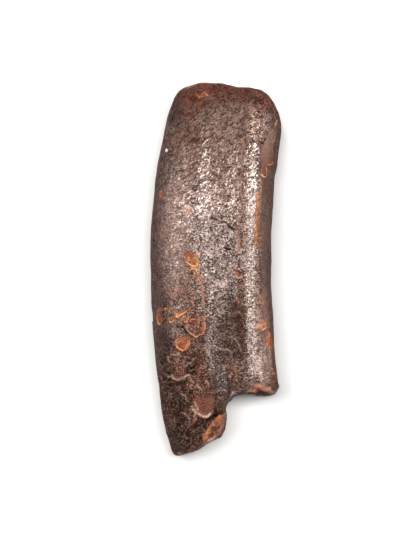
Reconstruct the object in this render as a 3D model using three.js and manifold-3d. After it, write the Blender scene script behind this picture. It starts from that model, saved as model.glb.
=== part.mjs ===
// A fossil cheek tooth of a ground sloth, lying on its flatter side.
//
// The tooth is one solid. It is a column of nearly constant section, bowed to the left and
// arched upwards along its length, with a broad shallow groove between a wide left lobe and a
// narrow right ridge. The crown end is worn round, with a shallow cup in the chewing face.
// The root end is an old break: the right-hand corner is gone, which leaves a prong on the left
// whose inner edge sheared off on a slant. Small worn flats underneath carry the weight.
//
// Millimetres. +X is to the right, +Y towards the crown, +Z up. The origin is the middle of the
// bounding box in X and Y, at the height of the resting flats.

import * as THREE from "three";
import { mergeVertices } from "three/addons/utils/BufferGeometryUtils.js";
import Module from "manifold-3d";

// Driving dimensions
const crownY = 37.5; // the chewing face on the column's axis
const rootY = -42; // where the unbroken column is taken to end, past the break
const sideBow = { radius: 168, apexY: 1.2, apexX: -1 }; // the column's bend to the left
const arch = { radius: 250, apexY: -1.75, apexZ: 9.35 }; // and its bend upwards
const crownRound = { length: 6.4, left: 5.9, right: 6.1, height: 2.4 }; // how the crown end is worn round
const crownSlope = 0.09; // how far the chewing face runs uphill to the right
const sideLean = 0.0036; // how much further to the left the upper side leans, per mm towards the crown

// Width in the middle as a share of the section, what the ends lose of it, and over what length.
const taper = { middle: 1.01, crown: 0.057, crownLength: 30, root: 0.02, rootFrom: 5, rootTo: 25 };
const cup = { halfWidth: 8, halfHeight: 3.6, halfLength: 3, depth: 0.8, tilt: 0.12 };
const breakLean = { x: 0.07, y: 0.08 }; // how far the break runs out as it goes down, as a slope

// The prong's sheared edge: a point that its slope runs through, as x, y and height above the
// column's axis, the way it faces, how steep it is, and how far it runs each way from that point.
const slant = {
  through: [0, -31.3, 5.4],
  facing: [0.82, -0.575],
  slope: { run: 2.5, drop: 6 },
  towardsRoot: 15,
  towardsCorner: 4.6,
};
const clear = 20; // more than any removed block has to reach past the tooth
const ballSides = { around: 40, down: 24 };
const sectionPoints = 76;
const lengthSteps = 44;
const stationPower = 1.5; // how strongly the stations gather at the crown

// The section, seen from the root end: x across, z up, from the right-hand side anticlockwise.
const sectionOutline = [
  [12.2, -0.8],
  [11.8, 2.2],
  [11.2, 4.9],
  [10.2, 6.7],
  [8.6, 7.4], // ridge
  [6.5, 6.9],
  [4.0, 6.25], // groove
  [1.0, 6.55],
  [-2.4, 7.2],
  [-5.6, 7.25], // left lobe
  [-8.6, 6.3],
  [-10.8, 4.2],
  [-11.9, 1.4],
  [-12.2, -1.4],
  [-11.4, -4.4],
  [-9.6, -6.6],
  [-6.4, -7.6], // left lobe of the back
  [-2.8, -7.3],
  [0.6, -6.75], // groove of the back
  [4.0, -7.1],
  [7.4, -7.7], // right lobe of the back
  [10.0, -6.6],
  [11.7, -4.0],
];
const halfWidth = 12.2;
const halfHeight = 7.7;

// The break from above, from the left wall of the tooth to its right one. Everything below the
// line and to the right of it is gone. Each step is the control point and end of a curve.
const breakStart = [-14, -31];
const breakLine = [
  [[-9.3, -37], [-7.6, -38.0]], // tip of the prong
  [[-6.8, -38.2], [-6, -37.6]],
  [[-4.6, -37.2], [-1.6, -35.6]],
  [[2.1, -34.0], [2.1, -31.6]],
  [[2.2, -30.4], [2.2, -28.8]],
  [[2.5, -26.1], [6.0, -25.8]], // inner corner
  [[9.0, -25.6], [10.4, -25.8]],
  [[12.9, -25.9], [14.5, -21.5]], // end of the right ridge
];

const wasm = await Module();
wasm.setup();

// A closed geometry as a manifold-3d solid, and the way back.
function solidFrom(geometry) {
  const bare = geometry.clone();
  bare.deleteAttribute("normal");
  bare.deleteAttribute("uv");
  const merged = mergeVertices(bare, 1e-4);
  return new wasm.Manifold(
    new wasm.Mesh({
      numProp: 3,
      vertProperties: new Float32Array(merged.attributes.position.array),
      triVerts: new Uint32Array(merged.index.array),
    }),
  );
}

function geometryFrom(solid) {
  const mesh = solid.getMesh();
  const geometry = new THREE.BufferGeometry();
  geometry.setAttribute("position", new THREE.BufferAttribute(mesh.vertProperties, 3));
  geometry.setIndex(new THREE.BufferAttribute(mesh.triVerts, 1));
  return geometry;
}

// What is worn off a half width near the crown: a quarter round with that inset.
function wornInset(toCrown, inset) {
  const rise = THREE.MathUtils.clamp(1 - toCrown / crownRound.length, 0, 1);
  return inset * (1 - Math.sqrt(1 - rise * rise));
}

// Carries a point of the straight column onto the bent tooth: first the arch, then the side bow.
function bend(point) {
  const archAngle = (point.y - arch.apexY) / arch.radius;
  const archedY = arch.apexY + (arch.radius + point.z) * Math.sin(archAngle);
  const archedZ = (arch.radius + point.z) * Math.cos(archAngle) - arch.radius;
  const bowAngle = (archedY - sideBow.apexY) / sideBow.radius;
  const toCentre = sideBow.radius - point.x;
  return point.set(
    sideBow.apexX + sideBow.radius - toCentre * Math.cos(bowAngle),
    sideBow.apexY + toCentre * Math.sin(bowAngle),
    arch.apexZ + archedZ,
  );
}

// The whole column, before anything broke off. The extrusion runs from the crown to the root,
// with its stations closer together where the crown is worn round.
function columnGeometry() {
  const outline = new THREE.CatmullRomCurve3(
    sectionOutline.map(([x, z]) => new THREE.Vector3(x, z, 0)),
    true,
    "centripetal",
  );
  const ring = outline.getSpacedPoints(sectionPoints).slice(0, -1);
  const section = new THREE.Shape(ring.map((p) => new THREE.Vector2(p.x, p.y)));
  const geometry = new THREE.ExtrudeGeometry(section, {
    depth: 1,
    steps: lengthSteps,
    bevelEnabled: false,
  });
  const positions = geometry.attributes.position;
  const point = new THREE.Vector3();
  for (let i = 0; i < positions.count; i++) {
    const across = positions.getX(i);
    const up = positions.getY(i);
    const toCrown = (crownY - rootY) * Math.pow(positions.getZ(i), stationPower);
    const along = crownY - toCrown;
    const nearCrown = THREE.MathUtils.smoothstep(along, crownY - taper.crownLength, crownY);
    const nearRoot = THREE.MathUtils.smoothstep(-along, taper.rootFrom, taper.rootTo);
    const width = taper.middle - taper.crown * nearCrown - taper.root * nearRoot;
    const insetX = wornInset(toCrown, across < 0 ? crownRound.left : crownRound.right);
    const insetZ = wornInset(toCrown, crownRound.height);
    const x = across * (width - insetX / halfWidth) - sideLean * along * Math.max(0, up);
    const z = up * (1 - insetZ / halfHeight);
    point.set(x, along + crownSlope * x * nearCrown, z);
    bend(point);
    positions.setXYZ(i, point.x, point.y, point.z);
  }
  return geometry;
}

// The hollow of the chewing face: a flattened ball that dips into the crown end.
function cupGeometry() {
  const ball = new THREE.SphereGeometry(1, ballSides.around, ballSides.down);
  ball.scale(cup.halfWidth, cup.halfLength, cup.halfHeight);
  ball.rotateZ(-cup.tilt);
  const middle = bend(new THREE.Vector3(0, crownY + cup.halfLength - cup.depth, 0));
  ball.translate(middle.x, middle.y, middle.z);
  return ball;
}

// Everything that broke away at the root, as a block whose walls lean out as they go down.
function breakGeometry() {
  const gone = new THREE.Shape();
  gone.moveTo(...breakStart);
  for (const [control, end] of breakLine) gone.quadraticCurveTo(...control, ...end);
  gone.lineTo(clear, breakLine.at(-1)[1][1]);
  gone.lineTo(clear, rootY - clear);
  gone.lineTo(breakStart[0], rootY - clear);
  const block = new THREE.ExtrudeGeometry(gone, {
    depth: 2 * clear,
    steps: 1,
    curveSegments: 6,
    bevelEnabled: false,
  });
  block.translate(0, 0, -clear / 2);
  const leaning = new THREE.Matrix4().makeShear(0, 0, 0, 0, -breakLean.x, breakLean.y);
  return block.applyMatrix4(leaning);
}

// The slab that sheared off the inner edge of the prong: its near face is the slanted break.
function slantGeometry() {
  const [x, y, aboveAxis] = slant.through;
  const slab = new THREE.BoxGeometry(clear, slant.towardsRoot + slant.towardsCorner, clear);
  slab.translate(clear / 2, (slant.towardsCorner - slant.towardsRoot) / 2, 0);
  slab.rotateY(-Math.atan2(slant.slope.run, slant.slope.drop));
  slab.rotateZ(Math.atan2(slant.facing[1], slant.facing[0]));
  return slab.translate(x, y, arch.apexZ + aboveAxis);
}

function toothGeometry() {
  const floor = new THREE.BoxGeometry(4 * clear, 6 * clear, clear).translate(0, 0, -clear / 2);
  const tooth = [cupGeometry(), breakGeometry(), slantGeometry(), floor].reduce(
    (body, removed) => body.subtract(solidFrom(removed)),
    solidFrom(columnGeometry()),
  );
  const geometry = geometryFrom(tooth);
  geometry.computeBoundingBox();
  const middle = geometry.boundingBox.getCenter(new THREE.Vector3());
  return geometry.translate(-middle.x, -middle.y, -geometry.boundingBox.min.z);
}

const tooth = new THREE.Mesh(
  toothGeometry(),
  new THREE.MeshStandardMaterial({ color: 0x4a3029, roughness: 0.42, metalness: 0 }),
);
tooth.name = "tooth";

const model = new THREE.Group();
model.add(tooth);
export default model;
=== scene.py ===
import math
from functools import partial
import bmesh
import bpy
import numpy as np
from mathutils import Matrix, Vector, noise


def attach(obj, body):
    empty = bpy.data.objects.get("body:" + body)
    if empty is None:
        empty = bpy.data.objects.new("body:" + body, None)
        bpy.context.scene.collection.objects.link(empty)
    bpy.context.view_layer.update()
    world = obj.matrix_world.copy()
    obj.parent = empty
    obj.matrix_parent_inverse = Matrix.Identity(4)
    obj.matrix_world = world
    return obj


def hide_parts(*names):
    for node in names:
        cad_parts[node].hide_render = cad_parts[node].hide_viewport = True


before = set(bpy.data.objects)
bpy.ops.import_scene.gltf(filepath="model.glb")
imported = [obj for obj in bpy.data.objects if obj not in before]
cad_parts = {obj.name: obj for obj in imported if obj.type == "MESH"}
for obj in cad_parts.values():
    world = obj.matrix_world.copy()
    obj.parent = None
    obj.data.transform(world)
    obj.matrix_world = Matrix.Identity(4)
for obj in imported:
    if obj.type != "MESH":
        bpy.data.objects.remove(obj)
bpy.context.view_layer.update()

# The tooth is shaped in millimetres and brought back to metres at the end. Places on it are
# seen from above: x towards the narrow ridge, y towards the chewing face.
mm = 0.001
print("frame loaded")


# small helpers

def srgb(hexColour):
    # an sRGB hex value as linear red, green, blue and alpha
    parts = [int(hexColour[i:i + 2], 16) / 255 for i in (1, 3, 5)]
    return [p / 12.92 if p <= 0.04045 else ((p + 0.055) / 1.055) ** 2.4 for p in parts] + [1.0]


def softStep(value, low, high):
    # 0 below low, 1 above high, with a smooth rise between
    t = np.clip((value - low) / (high - low), 0, 1)
    return t * t * (3 - 2 * t)


def noiseField(points, size, seed):
    # smooth noise from about -1 to 1, with lumps of that size in mm
    placed = (points / size + np.array([3.1, 7.7, 1.9]) * seed).tolist()
    return np.array([noise.noise(p) for p in placed])


def sidewaysField(points, size, seed):
    # the same in x and in y, which lets a drawn line wander
    return np.stack([noiseField(points, size, seed), noiseField(points, size, seed + 1)], axis=1)


def lumpHeight(points, lumps, seed):
    # lumps of several sizes and heights over one another
    return sum(rise * noiseField(points, size, seed + i) for i, (size, rise) in enumerate(lumps))


def addPiece(name, bm):
    mesh = bpy.data.meshes.new(name)
    bm.to_mesh(mesh)
    bm.free()
    piece = bpy.data.objects.new(name, mesh)
    bpy.context.scene.collection.objects.link(piece)
    return piece


def applyModifiers(piece):
    seen = piece.evaluated_get(bpy.context.evaluated_depsgraph_get())
    old, piece.data = piece.data, bpy.data.meshes.new_from_object(seen)
    piece.modifiers.clear()
    bpy.data.meshes.remove(old)


# camera

camera = {
    "lens": 120,  # a long lens, so that the tooth's own height hardly spreads its outline
    "frameHeight": 112.52,  # mm seen from the top edge of the view to the bottom one
    "aim": (-1.5, -1.29, 8.0),  # mm from the middle of the tooth's foot
}


def addCamera():
    data = bpy.data.cameras.new("camera")
    data.lens = camera["lens"]
    data.sensor_width = 36
    distance = camera["frameHeight"] * camera["lens"] / data.sensor_width
    eye = bpy.data.objects.new("camera", data)
    eye.location = (Vector(camera["aim"]) + Vector((0, 0, distance))) * mm  # looks straight down
    data.clip_start = 0.01
    bpy.context.scene.collection.objects.link(eye)
    bpy.context.scene.camera = eye


addCamera()
print("camera placed")


# the tooth's body

body = {
    "drawnFrom": 375,  # mm above the tooth's middle: where its outlines and areas are drawn from
    "voxel": 0.415,  # mm, on the walls and underneath; half of it on top and on both ends
    "smoothing": 5,  # rounds
    "crownFrom": 33,  # y beyond which a face can belong to the chewing face
    "rootFrom": -22,  # and to the broken end
    # Hollows that the break scooped out: centre and half sizes in mm, and how far each is turned
    # anticlockwise in degrees.
    "scoops": [
        ((9.3, -26.1, 16.2), (4.3, 2.9, 3.6), 0),  # the end of the ridge
        ((4.2, -27.6, 15.5), (2.4, 2.0, 3.0), 0),  # in the inner corner
        ((5.7, -36.3, 17.2), (16, 8, 8), 48),  # the sheared side of the prong
    ],
    # where the walls lie a little outside or inside the plain shape: middle and half sizes, mm out
    "trims": [(-10, 29, 3.4, 7, -0.3), (-10, 32, 4, 3, -0.1), (-13, -1, 2, 18, -0.2),
        (12.6, 25, 2.5, 5, 0.35), (0.2, -35, 2.4, 2.6, 0.07), (-3.4, -36.8, 1.5, 1.3, 0.3),
        (-9.6, -35.6, 1.6, 2.4, -0.2), (-10.8, -30, 2.6, 5.5, 0.3), (2.0, -31.5, 1.8, 3.5, 0.4),
        (5.8, -26, 2.2, 1.5, -0.5), (-2.6, 38, 3.5, 2.5, -0.2), (6.4, 37.4, 2.6, 2, -0.15),
        (10.8, 35.9, 2.8, 2.6, 0.2), (12.4, 34.2, 1.8, 2, -0.12), (12.5, -24.3, 1.2, 1.2, 0.35)],
}


def addScoop(centre, halfSizes, turn):
    bm = bmesh.new()
    bmesh.ops.create_icosphere(bm, subdivisions=5, radius=1)
    bmesh.ops.scale(bm, vec=halfSizes, verts=bm.verts)
    spin = Matrix.Rotation(math.radians(turn), 3, "Z")
    bmesh.ops.rotate(bm, cent=(0, 0, 0), matrix=spin, verts=bm.verts)
    bmesh.ops.translate(bm, vec=centre, verts=bm.verts)
    return addPiece("scoop", bm)


def isDetailed(face):
    # faces that look up, or that belong to the chewing face or the broken end
    y, facing = face.calc_center_median().y, face.normal
    onCrown = y > body["crownFrom"] and facing.y > 0.4
    onRoot = y < body["rootFrom"] and facing.y < -0.4
    return facing.z > 0.25 or onCrown or onRoot


def addBody(name):
    bm = bmesh.new()
    bm.from_mesh(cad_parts["tooth"].data)
    bmesh.ops.remove_doubles(bm, verts=bm.verts, dist=1e-6)
    bmesh.ops.scale(bm, vec=(1 / mm,) * 3, verts=bm.verts)
    piece = addPiece(name, bm)
    cutters = [addScoop(*scoop) for scoop in body["scoops"]]
    for cutter in cutters:
        cut = piece.modifiers.new("scoop", "BOOLEAN")
        cut.operation = "DIFFERENCE"
        cut.object = cutter
    grain = piece.modifiers.new("grain", "REMESH")
    grain.mode = "VOXEL"
    grain.voxel_size = body["voxel"]
    smoothed = piece.modifiers.new("smoothed", "SMOOTH")
    smoothed.iterations = body["smoothing"]
    applyModifiers(piece)
    for cutter in cutters:
        bpy.data.objects.remove(cutter)

    bm = bmesh.new()
    bm.from_mesh(piece.data)
    edges = {edge for face in bm.faces if isDetailed(face) for edge in face.edges}
    bmesh.ops.subdivide_edges(bm, edges=list(edges), cuts=1, use_grid_fill=True)
    axes = {"use_axis_x": True, "use_axis_y": True, "use_axis_z": True}
    bmesh.ops.smooth_vert(bm, verts=bm.verts, factor=0.5, **axes)
    bmesh.ops.triangulate(bm, faces=[f for f in bm.faces if len(f.verts) > 4])
    bm.to_mesh(piece.data)
    bm.free()
    return piece


def readSkin(piece):
    count = len(piece.data.vertices)
    points = np.empty(count * 3)
    normals = np.empty(count * 3)
    piece.data.vertices.foreach_get("co", points)
    piece.data.vertices.foreach_get("normal", normals)
    return points.reshape(-1, 3), normals.reshape(-1, 3)


# relief: every layer gives a height in mm along the skin's normal

relief = {
    "swells": [(14, 0.16), (6, 0.14), (2.6, 0.07)],  # lump size and height, mm
    # Wrinkles of the outer cementum, by area: its middle and half sizes, then their direction in
    # degrees from x, length, spacing and height.
    "wrinkles": [
        (-4.0, 25, 8.0, 10.5, 46, 3.0, 1.4, 0.4),
        (3.5, 26, 5.0, 9, 55, 2.6, 1.2, 0.32),
        (9.5, 29, 3.0, 6, 80, 2.0, 0.9, 0.14),
        (-6.0, 6, 5.5, 10, 50, 2.0, 0.9, 0.09),
        (1.0, 5, 6.5, 13, 8, 1.5, 0.8, 0.22),
        (2.0, -14, 4.5, 12, 60, 1.9, 1.0, 0.34),
        (-4.5, -8, 5.0, 8, 30, 1.5, 0.9, 0.24),
        (-6, -26, 7, 12, 60, 1.7, 0.95, 0.22),
        (7.8, 4, 1.8, 28, 90, 1.2, 0.7, 0.08),
    ],
    "sideGrain": (5.0, 1.3, 0.06),  # faint grooves along the walls and back: length, spacing, height
    # Layers that broke away in steps: where, the size of one, how many lie over each other, the
    # step, and how pale its worn edge is and how dark the painted shade at its foot is.
    "plates": {"areas": [(-6.5, -25, 7.5, 13), (4.6, -20.5, 2.6, 4.5)],
               "size": 3.0, "levels": 3.2, "step": 0.2, "worn": 0.2, "dirt": 0.65},
    "fracture": [(3.0, 0.3), (1.1, 0.2), (0.5, 0.1)],  # lump size and height, mm
    # The chewing face: its middle and half sizes across and up, where the ridge of hard dentine
    # runs round it, as a share of the way out, how far that stands up and how deep the dish is.
    "chewing": {"middle": (0.6, 6.6), "half": (11.2, 7.2), "ring": 0.74, "rise": 0.1, "dish": 0.35},
    "weave": (-1.0, 24.0, 13.0, 12.5),  # where the finest wrinkles run on a diagonal
    "scarEdge": {"lip": 0.07, "hollow": 0.1},  # along a scar: how high its lip, how deep beside it
    # Flakes missing from the walls and back: their size, how far apart they lie, depth, and how
    # strong each tone and the painted glow of their edges are.
    "backScars": {"size": 4.6, "gap": 0.47, "depth": 0.18, "paintedGlow": 0.24, "amber": 0.25, "russet": 0.35,
                  "calm": 0.5},
}

# Single folds and cracks, each with its path, half width and height in mm (hollows below 0).
folds = [
    ([(-4.4, 26.2), (-2.8, 26.4), (-1.4, 27.0)], 0.8, -0.1),
    ([(-2.2, 24.6), (-1.2, 25.7), (-0.2, 27.2)], 0.7, 0.16),
    ([(-6.6, 23.6), (-4.8, 25.0), (-2.6, 26.4), (-0.4, 28.1)], 0.7, -0.12),
    ([(-7.6, 24.6), (-6.0, 26.2), (-4.4, 27.4)], 0.8, 0.14),
    ([(-8.6, 27.0), (-7.0, 28.6), (-5.6, 29.2)], 0.8, -0.14),
    ([(-4.0, 28.6), (-3.2, 29.6), (-2.4, 30.0)], 1.0, 0.12),
    ([(-4.4, 30.9), (-3.2, 31.0)], 0.5, -0.12),
    ([(0.2, 33.5), (1.4, 34.0)], 0.5, 0.12),
    ([(3.4, 34.2), (4.4, 34.8), (5.2, 34.9)], 0.55, 0.14),
    ([(-2.2, 34.4), (-0.4, 34.5), (0.6, 35.0)], 0.5, -0.12),
    ([(1.6, 20.5), (3.0, 21.0), (4.5, 21.8)], 0.6, -0.2),
    ([(1.8, 21.4), (3.2, 22.4), (4.4, 23.0)], 0.5, 0.12),
    ([(-5.6, 16.6), (-4.4, 16.9), (-3.5, 17.3)], 0.45, -0.18),
    ([(-9.0, 18.3), (-8.2, 20.6), (-6.8, 22.6), (-5.4, 23.3)], 0.5, 0.12),
    ([(-8.0, 18.6), (-7.0, 20.0), (-5.0, 21.0)], 0.45, 0.12),
    ([(-6.2, 19.8), (-4.6, 20.4)], 0.4, -0.14),
    ([(-7.4, 15.6), (-5.2, 16.2), (-3.0, 17.8), (-2.2, 18.8)], 0.35, -0.14),
    ([(4.2, 27.6), (5.0, 27.3)], 0.5, -0.2),
    ([(4.6, 30.5), (5.2, 30.2)], 0.5, -0.16),
    ([(5.2, 28.8), (5.9, 30.4)], 0.4, 0.12),
    ([(6.6, 28.8), (7.2, 30.3), (7.6, 31.9)], 0.45, 0.12),
    ([(2.8, 26.8), (3.6, 28.6)], 0.4, 0.1),
    ([(-0.9, 10.6), (1.1, 10.1), (2.0, 9.7), (3.1, 8.9), (4.0, 8.5)], 0.36, -0.34),
    ([(2.8, 8.9), (3.6, 8.6)], 0.4, -0.2),
    ([(2.1, 4.5), (2.8, 4.2)], 0.42, -0.4),
    ([(-1.8, 5.2), (-0.6, 4.6), (0.4, 4.0)], 0.4, 0.1),
    ([(-1.4, 3.6), (0.2, 3.1), (1.6, 2.3), (2.6, 2.6)], 0.4, 0.12),
    ([(-1.4, 2.3), (0, 1.9), (1.0, 1.6), (2.4, 1.4)], 0.35, -0.18),
    ([(-0.2, 0.0), (1.2, -0.2), (2.2, 0.1)], 0.4, 0.12),
    ([(-6.9, 2.0), (-6.0, 1.5)], 0.4, -0.14),
    ([(-5.8, 0.6), (-4.6, 0.75), (-3.4, 0.2)], 0.35, -0.2),
    ([(-1.2, 0.4), (-1.1, -0.4)], 0.5, -0.24),
    ([(-2.0, -6.2), (-1.4, -7.1)], 0.45, -0.26),
    ([(0.3, -8.0), (0.8, -8.8), (1.8, -8.8)], 0.4, 0.12),
    ([(1.0, -14.4), (2.2, -15.6), (3.8, -16.0)], 0.4, 0.14),
    ([(1.6, -13.6), (3.2, -14.8)], 0.35, 0.1),
    ([(4.4, -13.9), (5.2, -15.4)], 0.35, 0.1),
    ([(-0.9, -14.6), (-0.4, -16.2), (-0.1, -17.4)], 0.55, 0.18),
    ([(-2.4, -14.0), (-1.8, -15.4), (-1.0, -17.0)], 0.45, 0.12),
    ([(-1.6, -19.4), (-1.0, -21.0)], 0.45, 0.12),
    ([(-7.6, -4.6), (-6.8, -5.5), (-6.1, -5.8)], 0.4, -0.2),
    ([(-8.0, -11.3), (-6.6, -11.6), (-5.9, -12.6), (-4.6, -13.7)], 0.5, -0.3),
    ([(-5.6, -19.6), (-4.6, -19.6), (-4.4, -20.6)], 0.8, -0.28),
    ([(-5.0, -24.4), (-4.9, -25.2)], 0.5, -0.28),
    ([(-9.2, -22.2), (-7.4, -22.9), (-5.6, -22.6)], 0.6, -0.2),
    ([(-3.9, -30.0), (-1.8, -30.5), (0.2, -29.6)], 0.7, -0.28),
    ([(-4.4, -31.4), (-2.8, -31.8), (-1.4, -31.2)], 0.8, -0.2),
    ([(1.4, -21.6), (1.7, -22.8), (1.9, -24.2), (1.9, -26.8)], 1.2, -0.14),
    ([(0.5, -25.5), (0.9, -28.0), (-0.2, -30.0)], 0.8, -0.13),
    ([(6.2, -21.2), (6.8, -21.9), (7.3, -22.2)], 0.4, -0.2),
    ([(6.6, -24.0), (7.6, -23.75), (8.2, -23.7)], 0.3, -0.25),
]

# Tones that lie over the skin, each in oval areas: middle, half sizes and how strong.
stains = {
    # paler skin, and painted sheen over the middle, the left flank and the ridge, where the light falls
    # brightest
    "pale": [(-1.5, 10, 9.5, 18, 0.75), (-1, 16, 6, 8, 0.25), (10.6, 6, 1.6, 22, 0.35),
        (-1.5, 26, 9, 7, 0.3), (2.5, 26, 5, 8, 0.35), (0, 33.5, 9, 3, 0.3), (-7.6, -4.5, 3, 5, 0.35),
        (-4.2, -10.8, 2, 2.4, 0.5), (10.3, -19.5, 1.5, 4.5, 0.8), (8.9, 16, 0.8, 4.5, 0.4),
        (-8.2, 6, 2.6, 13, 0.4), (7.4, 4, 1.6, 27, 0.6), (9.4, 29, 2.8, 7, 0.8), (-3.0, -9, 6, 7, 0.35),
        (7.4, -2, 1.6, 20, 0.35), (7.6, -18, 1.8, 7, 0.5), (9.8, -14, 1.8, 9.5, 0.8),
        (-7.8, -9.5, 2.6, 4, 0.5)],
    # where fine crumbling makes the grain sharpest
    "sharp": [(1, -2, 7, 13, 1.0), (-5, -11, 7, 10, 0.8), (3, -17, 4, 9, 1.0), (-6.5, -27, 6, 12, 0.6),
        (7.8, -3, 2, 22, 0.65), (8.6, 8, 1, 20, 0.3), (9.5, 27, 3, 7, 0.4)],
    "grey": [(2.0, 26, 4.5, 9, 0.5), (-7.5, 24, 3.5, 6, 0.4), (-9.5, 8, 2.5, 13, 0.4), (1.5, 4, 4, 9, 0.6),
        (2.0, -14, 3, 10, 0.15), (-1.2, -27.2, 0.9, 2.0, 0.7)],
    "red": [(-6.5, -27, 6, 13, 0.9), (0, 36.5, 11, 3.2, 0.7), (-5.0, -5.0, 2.4, 3.6, 0.5),
        (-4.4, -10.2, 1.5, 1.2, 0.5), (-4.6, 27.5, 3.6, 2.0, 0.5), (-5.5, 33, 4, 2.6, 0.6),
        (8.6, 29, 2.6, 5, 0.35), (5.6, 6.0, 1.2, 2.4, 0.5), (-3.6, -17.4, 0.7, 1.6, 0.8),
        (5.5, -7, 1.1, 8, 0.5), (-9.6, -18.0, 1.2, 1.0, 0.6), (8.7, -3, 0.7, 15, 0.6),
        (5.4, 12.5, 0.8, 7.5, 0.28), (3.6, -14, 2.4, 8, 0.4)],
    "russet": [(10.3, 34.2, 2.6, 2.2, 0.75), (-8.8, -27, 3, 6, 0.25), (-2, 37.0, 6, 1.2, 0.45),
        (5.5, 36.5, 3, 1.2, 0.3), (-4.4, -10.2, 1.0, 0.9, 0.6), (-3.4, -22.4, 0.7, 1.2, 0.4),
        (-2.2, -24.0, 0.7, 1.0, 0.4), (-3.0, -26.7, 0.7, 1.3, 0.8)],
    "tan": [(-6.5, -26, 6.0, 12.5, 0.75), (-9.2, -27.5, 2.4, 6, -0.4), (4.5, -21, 3, 3.5, 0.6),
        (-5.0, -9.5, 2.4, 3, 0.4)],
    "calm": [(-8.2, 7, 3.4, 13, 0.35), (10, -18, 1.6, 6, 0.4), (-1, 33, 9, 5, 0.15)],
    "amber": [(-3.9, -10.0, 1.3, 1.1, 0.6), (-6.2, -10.2, 0.7, 0.8, 0.8), (-5.0, -7.6, 1.3, 0.6, 0.4)],
    # dark soil, and painted shade along the left wall, under raised rims, in folds and below the ridge's
    # broken end
    "soot": [(1.6, -24.4, 1.8, 3.8, 0.8), (-10.2, -12, 2, 7, 0.35), (-2.6, -27.4, 2, 2.4, 0.35),
        (-4.6, -35.5, 3.5, 3, 0.3), (0.6, -28.0, 1.2, 2.0, 0.9), (-10.6, -21, 1.8, 8, 0.8),
        (-8.9, 32.5, 1.8, 3.5, 0.65), (-4.9, -20, 1, 1.2, 0.5), (3.0, -11, 2.6, 9, 0.35),
        (-3.0, -31.5, 2.0, 1.4, 0.8), (-8.2, -30, 3.4, 9, 0.5), (-6.0, -12.4, 1.6, 0.6, 0.6),
        (3.3, 8.7, 0.8, 0.4, 0.8), (2.5, 4.4, 0.5, 0.35, 0.9), (-5.0, -19.9, 0.9, 0.9, 0.7),
        (-4.9, -24.8, 0.5, 0.6, 0.8), (-6.8, -22.8, 1.2, 0.6, 0.6), (-6.9, -33.0, 4.2, 6.0, 0.45),
        (7.2, -24.9, 2.6, 0.5, 0.9), (-0.6, -30.0, 1.0, 0.7, 0.8), (-2.7, -25.3, 1.4, 0.35, 0.5),
        (-9.5, -26, 2.4, 5, 0.4), (-6.0, -26.5, 1.6, 3, 0.35)],
    # how much of the skin handling and the ground have burnished
    "polish": [(0, 0, 14, 46, 0.22), (9, 29.5, 2.6, 4, 0.16), (7.5, -4, 1.3, 16, 0.38),
        (7.3, -3, 0.7, 19, 0.35), (-2.5, 10, 3.5, 12, 0.1), (3.5, -1, 2, 8, -0.12),
        (-4, -8.5, 4, 4.5, 0.12), (-9.3, 6, 2.6, 12, 0.1), (-0.5, 4, 9.5, 13, 0.25),
        (-8.0, 14, 3.2, 9, 0.12), (1.0, 4, 7, 11, 0.14), (-2.3, 18, 1.3, 12, 0.26), (9.5, 29, 3, 6, 0.2),
        (7.4, -2, 1.9, 25, 0.2), (-6.5, -27, 6, 12, -0.12), (1.5, -13, 3.5, 9, 0.12),
        (-6.0, 1, 1.8, 6, -0.15), (-8.0, -10, 2.4, 4, 0.16), (0.5, 22, 6, 6, 0.06),
        (2.5, 25, 4.5, 8, 0.04), (-2.0, 18, 7, 7, 0.13), (4.6, 18, 1.8, 8, 0.16), (0.5, 3, 5, 8, 0.14),
        (-0.9, -16.5, 1.3, 4.5, 0.28), (1.3, -23.5, 1.2, 4, 0.3), (10.2, -18.5, 1.6, 5, 0.35),
        (8.8, 16, 0.8, 4.5, 0.3), (7.3, -5, 1.2, 3, 0.2)],
}

# the narrow ridge, which handling has burnished most
ridge = {
    "crest": [(7.6, 25), (7.6, 16), (7.5, 8), (7.4, 0), (7.5, -7), (7.7, -15), (8.3, -21)],
    "reach": 1.9,  # mm each side
    "polish": 0.52,
    "patches": 0.3,  # how much more or less burnished it is from place to place
}


def oval(x, y, halfX, halfY, turn):
    # an outline as points round an oval, turned anticlockwise by so many degrees
    c, s = math.cos(math.radians(turn)), math.sin(math.radians(turn))
    sides = 20
    ring = [(halfX * math.cos(a), halfY * math.sin(a)) for a in np.linspace(0, math.tau, sides, False)]
    return [(x + u * c - v * s, y + u * s + v * c) for u, v in ring]
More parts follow.
